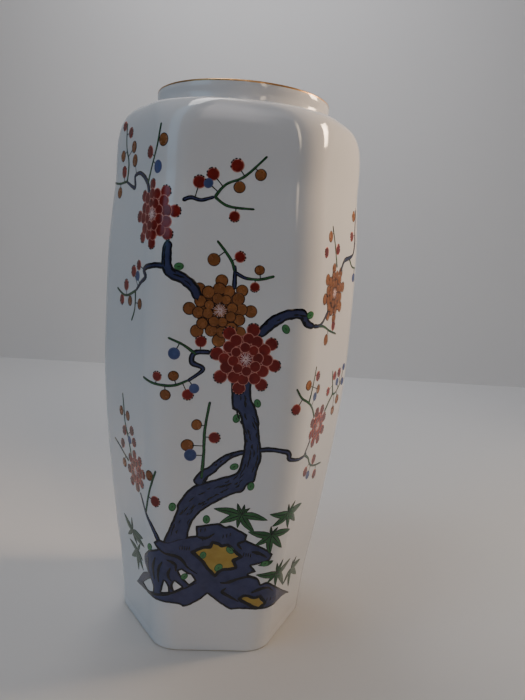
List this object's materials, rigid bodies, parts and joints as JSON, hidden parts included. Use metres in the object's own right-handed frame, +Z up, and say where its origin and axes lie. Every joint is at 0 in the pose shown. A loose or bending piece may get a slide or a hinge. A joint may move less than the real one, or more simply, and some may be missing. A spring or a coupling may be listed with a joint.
{
  "type": "vase",
  "caption": "Tall hexagonal porcelain flower vase with rounded corners, a squared shoulder, a low round neck and a plum tree, garden rock and bamboo in coloured enamels.",
  "frame": {"origin": "middle of the foot, on the surface the vase stands on", "axes": "+Z up through the mouth; -Y out of the middle of the front face; +X to the right of the front face, through a corner of the hexagon"},
  "size_m": [0.116, 0.1068, 0.245],
  "materials": {
    "porcelain_glaze": "glossy clear glaze over white porcelain with a faint blue-grey cast",
    "bisque_foot": "unglazed fired porcelain, matt and slightly stained where it stands",
    "gilding": "thin brown-gold line fired on the lip, rubbed in places",
    "enamel_blue": "glossy cobalt blue enamel with black outlines and bark strokes",
    "enamel_iron_red": "glossy iron red enamel, lighter and pinker at the rims of the petals",
    "enamel_brown_gold": "lustrous brown-gold enamel that shines yellow where light falls on it",
    "enamel_yellow": "glossy ochre yellow enamel",
    "enamel_green": "glossy deep green enamel with black leaf veins"
  },
  "bodies": {
    "root": {"body_wall": "porcelain_glaze", "neck_collar": "porcelain_glaze", "foot_ring": "bisque_foot", "base_floor": "porcelain_glaze", "lip_gilding": "gilding", "front_blossom_red_main": "enamel_iron_red", "back_blossom_red_main": "enamel_iron_red", "front_blossom_gold_main": "enamel_brown_gold", "back_blossom_gold_main": "enamel_brown_gold", "front_blossom_red_high": "enamel_iron_red", "back_blossom_red_high": "enamel_iron_red", "front_blossom_gold_right": "enamel_brown_gold", "back_blossom_gold_right": "enamel_brown_gold", "front_blossom_red_left": "enamel_iron_red", "back_blossom_red_left": "enamel_iron_red", "front_blossom_red_right": "enamel_iron_red", "back_blossom_red_right": "enamel_iron_red", "front_plum_trunk": "enamel_blue", "back_plum_trunk": "enamel_blue", "front_branch_high_left": "enamel_blue", "back_branch_high_left": "enamel_blue", "front_branch_right": "enamel_blue", "back_branch_right": "enamel_blue", "front_branch_low_right": "enamel_blue", "back_branch_low_right": "enamel_blue", "front_branch_low_left": "enamel_blue", "back_branch_low_left": "enamel_blue", "front_twig_top_left": "enamel_green", "back_twig_top_left": "enamel_green", "front_twig_top_right": "enamel_green", "back_twig_top_right": "enamel_green", "front_twig_above_gold": "enamel_green", "back_twig_above_gold": "enamel_green", "front_twig_left_middle": "enamel_green", "back_twig_left_middle": "enamel_green", "front_twig_low_left": "enamel_green", "back_twig_low_left": "enamel_green", "front_twig_far_left": "enamel_green", "back_twig_far_left": "enamel_green", "front_twig_high_right": "enamel_green", "back_twig_high_right": "enamel_green", "front_twig_above_right": "enamel_green", "back_twig_above_right": "enamel_green", "front_twig_far_right": "enamel_green", "back_twig_far_right": "enamel_green", "front_garden_rock": "enamel_blue", "back_garden_rock": "enamel_blue", "front_rock_hollow_star": "enamel_yellow", "back_rock_hollow_star": "enamel_yellow", "front_rock_hollow_low": "enamel_yellow", "back_rock_hollow_low": "enamel_yellow", "front_bamboo_high": "enamel_green", "back_bamboo_high": "enamel_green", "front_bamboo_right": "enamel_green", "back_bamboo_right": "enamel_green", "front_bamboo_low_right": "enamel_green", "back_bamboo_low_right": "enamel_green", "front_bamboo_left": "enamel_green", "back_bamboo_left": "enamel_green"}
  },
  "joints": []
}
